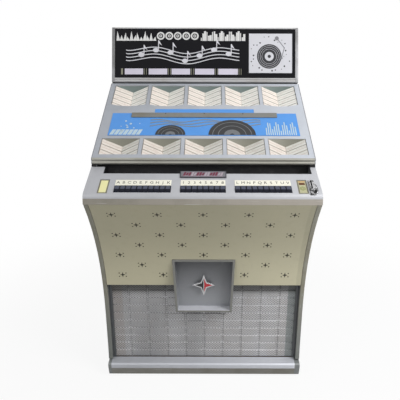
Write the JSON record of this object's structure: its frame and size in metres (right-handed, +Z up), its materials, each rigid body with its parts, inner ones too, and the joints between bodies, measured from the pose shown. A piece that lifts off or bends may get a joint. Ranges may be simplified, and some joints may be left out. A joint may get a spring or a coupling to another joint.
{
  "type": "jukebox",
  "caption": "Console jukebox with a hinged lid of title racks, a sloping deck of selection keys, a speaker grille and a leaning lit header.",
  "frame": {"origin": "middle of the footprint, on the floor", "axes": "+Z up, front towards -Y, +X to the right as seen from the front"},
  "size_m": [0.79, 0.66, 1.4],
  "materials": {
    "side_board": "painted, satin",
    "case_paint": "satin paint",
    "cream_paint": "semi-gloss paint",
    "satin_aluminium": "satin",
    "brushed_trim": "brushed",
    "chrome": "polished",
    "grille_mesh": "expanded mesh, bright",
    "box_metal": "satin metallic paint",
    "black_plastic": "gloss",
    "picture_glass": "back-painted",
    "black_glass": "back-painted",
    "rack_plastic": "matte",
    "board": "bare board",
    "zinc": "zinc plated",
    "cone": "paper cone"
  },
  "bodies": {
    "cabinet": {"left_side_panel": "side_board", "right_side_panel": "side_board", "back_door": "side_board", "header_case": "case_paint", "front_panel": "cream_paint", "key_deck": "satin_aluminium", "base_moulding": "satin_aluminium", "left_edge_trim": "brushed_trim", "right_edge_trim": "brushed_trim", "coin_entry": "chrome", "emblem": "chrome", "header_frame": "chrome", "speaker_grille": "grille_mesh", "emblem_box": "box_metal", "rear_trough": "black_plastic", "header_glass": "black_glass", "cabinet_floor": "board", "mechanism_shelf": "board", "speaker_baffle": "board", "record_magazine": "zinc", "amplifier": "zinc", "coin_mechanism": "zinc", "left_woofer": "cone", "right_woofer": "cone"},
    "lid": {"lid_frame": "satin_aluminium", "upper_title_rack": "rack_plastic", "lower_title_rack": "rack_plastic", "art_panel": "picture_glass"},
    "carriage": {"mechanism_carriage": "zinc"},
    "clamp": {"turntable_clamp": "brushed_trim"},
    "arm": {"tonearm": "black_plastic"},
    "coin_return": {"coin_return_button": "chrome"},
    "key_a_body": {"key_a": "black_plastic"},
    "key_b_body": {"key_b": "black_plastic"},
    "key_c_body": {"key_c": "black_plastic"},
    "key_d_body": {"key_d": "black_plastic"},
    "key_e_body": {"key_e": "black_plastic"},
    "key_f_body": {"key_f": "black_plastic"},
    "key_g_body": {"key_g": "black_plastic"},
    "key_h_body": {"key_h": "black_plastic"},
    "key_j_body": {"key_j": "black_plastic"},
    "key_k_body": {"key_k": "black_plastic"},
    "key_1_body": {"key_1": "black_plastic"},
    "key_2_body": {"key_2": "black_plastic"},
    "key_3_body": {"key_3": "black_plastic"},
    "key_4_body": {"key_4": "black_plastic"},
    "key_5_body": {"key_5": "black_plastic"},
    "key_6_body": {"key_6": "black_plastic"},
    "key_7_body": {"key_7": "black_plastic"},
    "key_8_body": {"key_8": "black_plastic"},
    "key_l_body": {"key_l": "black_plastic"},
    "key_m_body": {"key_m": "black_plastic"},
    "key_n_body": {"key_n": "black_plastic"},
    "key_p_body": {"key_p": "black_plastic"},
    "key_q_body": {"key_q": "black_plastic"},
    "key_r_body": {"key_r": "black_plastic"},
    "key_s_body": {"key_s": "black_plastic"},
    "key_t_body": {"key_t": "black_plastic"},
    "key_u_body": {"key_u": "black_plastic"},
    "key_v_body": {"key_v": "black_plastic"}
  },
  "joints": [
    {"name": "lid_hinge", "type": "hinge", "parent": "cabinet", "child": "lid", "pos_m": [0, 0.18955, 1.16439], "axis": [-1, 0, 0], "range_deg": [0, 60]},
    {"name": "carriage_slide", "type": "slide", "parent": "cabinet", "child": "carriage", "axis": [1, 0, 0], "range_m": [-0.2, 0.2]},
    {"name": "clamp_spin", "type": "hinge", "parent": "carriage", "child": "clamp", "pos_m": [0, 0.179, 0.8738], "axis": [1, 0, 0], "continuous": true},
    {"name": "tonearm_pivot", "type": "hinge", "parent": "carriage", "child": "arm", "pos_m": [0, 0.213, 0.9438], "axis": [-1, 0, 0], "range_deg": [0, 24]},
    {"name": "coin_return_press", "type": "slide", "parent": "cabinet", "child": "coin_return", "axis": [0, 0.4653, -0.8851], "range_m": [0, 0.003], "stiffness_N_per_m": 300, "springref_m": -0.003},
    {"name": "key_a_press", "type": "slide", "parent": "cabinet", "child": "key_a_body", "axis": [0, 0.4653, -0.8851], "range_m": [0, 0.004], "stiffness_N_per_m": 250, "springref_m": -0.004},
    {"name": "key_b_press", "type": "slide", "parent": "cabinet", "child": "key_b_body", "axis": [0, 0.4653, -0.8851], "range_m": [0, 0.004], "stiffness_N_per_m": 250, "springref_m": -0.004},
    {"name": "key_c_press", "type": "slide", "parent": "cabinet", "child": "key_c_body", "axis": [0, 0.4653, -0.8851], "range_m": [0, 0.004], "stiffness_N_per_m": 250, "springref_m": -0.004},
    {"name": "key_d_press", "type": "slide", "parent": "cabinet", "child": "key_d_body", "axis": [0, 0.4653, -0.8851], "range_m": [0, 0.004], "stiffness_N_per_m": 250, "springref_m": -0.004},
    {"name": "key_e_press", "type": "slide", "parent": "cabinet", "child": "key_e_body", "axis": [0, 0.4653, -0.8851], "range_m": [0, 0.004], "stiffness_N_per_m": 250, "springref_m": -0.004},
    {"name": "key_f_press", "type": "slide", "parent": "cabinet", "child": "key_f_body", "axis": [0, 0.4653, -0.8851], "range_m": [0, 0.004], "stiffness_N_per_m": 250, "springref_m": -0.004},
    {"name": "key_g_press", "type": "slide", "parent": "cabinet", "child": "key_g_body", "axis": [0, 0.4653, -0.8851], "range_m": [0, 0.004], "stiffness_N_per_m": 250, "springref_m": -0.004},
    {"name": "key_h_press", "type": "slide", "parent": "cabinet", "child": "key_h_body", "axis": [0, 0.4653, -0.8851], "range_m": [0, 0.004], "stiffness_N_per_m": 250, "springref_m": -0.004},
    {"name": "key_j_press", "type": "slide", "parent": "cabinet", "child": "key_j_body", "axis": [0, 0.4653, -0.8851], "range_m": [0, 0.004], "stiffness_N_per_m": 250, "springref_m": -0.004},
    {"name": "key_k_press", "type": "slide", "parent": "cabinet", "child": "key_k_body", "axis": [0, 0.4653, -0.8851], "range_m": [0, 0.004], "stiffness_N_per_m": 250, "springref_m": -0.004},
    {"name": "key_1_press", "type": "slide", "parent": "cabinet", "child": "key_1_body", "axis": [0, 0.4653, -0.8851], "range_m": [0, 0.004], "stiffness_N_per_m": 250, "springref_m": -0.004},
    {"name": "key_2_press", "type": "slide", "parent": "cabinet", "child": "key_2_body", "axis": [0, 0.4653, -0.8851], "range_m": [0, 0.004], "stiffness_N_per_m": 250, "springref_m": -0.004},
    {"name": "key_3_press", "type": "slide", "parent": "cabinet", "child": "key_3_body", "axis": [0, 0.4653, -0.8851], "range_m": [0, 0.004], "stiffness_N_per_m": 250, "springref_m": -0.004},
    {"name": "key_4_press", "type": "slide", "parent": "cabinet", "child": "key_4_body", "axis": [0, 0.4653, -0.8851], "range_m": [0, 0.004], "stiffness_N_per_m": 250, "springref_m": -0.004},
    {"name": "key_5_press", "type": "slide", "parent": "cabinet", "child": "key_5_body", "axis": [0, 0.4653, -0.8851], "range_m": [0, 0.004], "stiffness_N_per_m": 250, "springref_m": -0.004},
    {"name": "key_6_press", "type": "slide", "parent": "cabinet", "child": "key_6_body", "axis": [0, 0.4653, -0.8851], "range_m": [0, 0.004], "stiffness_N_per_m": 250, "springref_m": -0.004},
    {"name": "key_7_press", "type": "slide", "parent": "cabinet", "child": "key_7_body", "axis": [0, 0.4653, -0.8851], "range_m": [0, 0.004], "stiffness_N_per_m": 250, "springref_m": -0.004},
    {"name": "key_8_press", "type": "slide", "parent": "cabinet", "child": "key_8_body", "axis": [0, 0.4653, -0.8851], "range_m": [0, 0.004], "stiffness_N_per_m": 250, "springref_m": -0.004},
    {"name": "key_l_press", "type": "slide", "parent": "cabinet", "child": "key_l_body", "axis": [0, 0.4653, -0.8851], "range_m": [0, 0.004], "stiffness_N_per_m": 250, "springref_m": -0.004},
    {"name": "key_m_press", "type": "slide", "parent": "cabinet", "child": "key_m_body", "axis": [0, 0.4653, -0.8851], "range_m": [0, 0.004], "stiffness_N_per_m": 250, "springref_m": -0.004},
    {"name": "key_n_press", "type": "slide", "parent": "cabinet", "child": "key_n_body", "axis": [0, 0.4653, -0.8851], "range_m": [0, 0.004], "stiffness_N_per_m": 250, "springref_m": -0.004},
    {"name": "key_p_press", "type": "slide", "parent": "cabinet", "child": "key_p_body", "axis": [0, 0.4653, -0.8851], "range_m": [0, 0.004], "stiffness_N_per_m": 250, "springref_m": -0.004},
    {"name": "key_q_press", "type": "slide", "parent": "cabinet", "child": "key_q_body", "axis": [0, 0.4653, -0.8851], "range_m": [0, 0.004], "stiffness_N_per_m": 250, "springref_m": -0.004},
    {"name": "key_r_press", "type": "slide", "parent": "cabinet", "child": "key_r_body", "axis": [0, 0.4653, -0.8851], "range_m": [0, 0.004], "stiffness_N_per_m": 250, "springref_m": -0.004},
    {"name": "key_s_press", "type": "slide", "parent": "cabinet", "child": "key_s_body", "axis": [0, 0.4653, -0.8851], "range_m": [0, 0.004], "stiffness_N_per_m": 250, "springref_m": -0.004},
    {"name": "key_t_press", "type": "slide", "parent": "cabinet", "child": "key_t_body", "axis": [0, 0.4653, -0.8851], "range_m": [0, 0.004], "stiffness_N_per_m": 250, "springref_m": -0.004},
    {"name": "key_u_press", "type": "slide", "parent": "cabinet", "child": "key_u_body", "axis": [0, 0.4653, -0.8851], "range_m": [0, 0.004], "stiffness_N_per_m": 250, "springref_m": -0.004},
    {"name": "key_v_press", "type": "slide", "parent": "cabinet", "child": "key_v_body", "axis": [0, 0.4653, -0.8851], "range_m": [0, 0.004], "stiffness_N_per_m": 250, "springref_m": -0.004}
  ]
}
